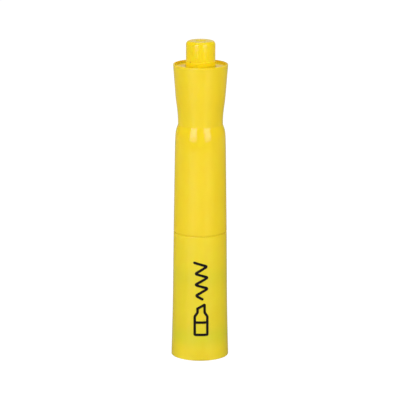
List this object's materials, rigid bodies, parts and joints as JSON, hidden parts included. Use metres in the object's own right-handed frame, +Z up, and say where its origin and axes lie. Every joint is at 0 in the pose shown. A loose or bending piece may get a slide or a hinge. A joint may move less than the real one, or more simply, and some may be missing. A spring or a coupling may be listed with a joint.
{
  "type": "retractable highlighter",
  "caption": "Push-button highlighter with a wide standing nose, a waisted flared end round the button, and a click cam over a sprung ink cartridge.",
  "frame": {"origin": "centre of the flat nose end that the highlighter stands on", "axes": "+Z up along the barrel to the button, +X and +Y across it, the nib's broad faces towards +Y and -Y"},
  "size_m": [0.0242, 0.0242, 0.1359],
  "materials": {
    "shell_yellow": "polished, faintly translucent fluorescent yellow",
    "barrel_yellow": "polished fluorescent yellow",
    "collar_yellow": "smooth fluorescent yellow",
    "button_yellow": "polished fluorescent yellow",
    "mechanism_plastic": "moulded natural acetal",
    "cartridge_plastic": "moulded white polypropylene",
    "filler_fibre": "ink-soaked polyester fibre",
    "filler_film": "thin clear film",
    "nib_felt": "ink-soaked sintered felt",
    "spring_steel": "bright drawn wire",
    "chamber_plastic": "moulded white polypropylene",
    "valve_rubber": "soft moulded elastomer"
  },
  "bodies": {
    "body": {"front_shell": "shell_yellow", "rear_barrel": "barrel_yellow", "end_collar": "collar_yellow", "cam_sleeve": "mechanism_plastic", "guide_ring": "mechanism_plastic", "nozzle": "chamber_plastic", "slit_valve": "valve_rubber", "valve_ring": "chamber_plastic", "wiper_seal": "valve_rubber", "seal_cap": "chamber_plastic", "return_spring": "spring_steel"},
    "button": {"push_button": "button_yellow", "cam_plunger": "mechanism_plastic"},
    "cartridge": {"cartridge_tube": "cartridge_plastic", "cartridge_plug": "cartridge_plastic", "ink_filler": "filler_fibre", "filler_wrap": "filler_film", "nib_holder": "cartridge_plastic", "chisel_nib": "nib_felt"},
    "rotor": {"cam_rotor": "mechanism_plastic"}
  },
  "joints": [
    {"name": "button_press", "type": "slide", "parent": "body", "child": "button", "axis": [0, 0, -1], "range_m": [0, 0.0095], "stiffness_N_per_m": 150, "springref_m": -0.01},
    {"name": "cartridge_slide", "type": "slide", "parent": "body", "child": "cartridge", "axis": [0, 0, -1], "range_m": [0, 0.00851], "deforming": ["return_spring", "slit_valve"]},
    {"name": "rotor_turn", "type": "hinge", "parent": "cartridge", "child": "rotor", "pos_m": [0, 0, 0.1], "axis": [0, 0, 1], "range_deg": [0, 22.6]}
  ],
  "couplings": [
    {"joint": "cartridge_slide", "follows": "button_press", "ratio": 0.89474},
    {"joint": "rotor_turn", "follows": "button_press", "rad_per_m": 41.337}
  ]
}
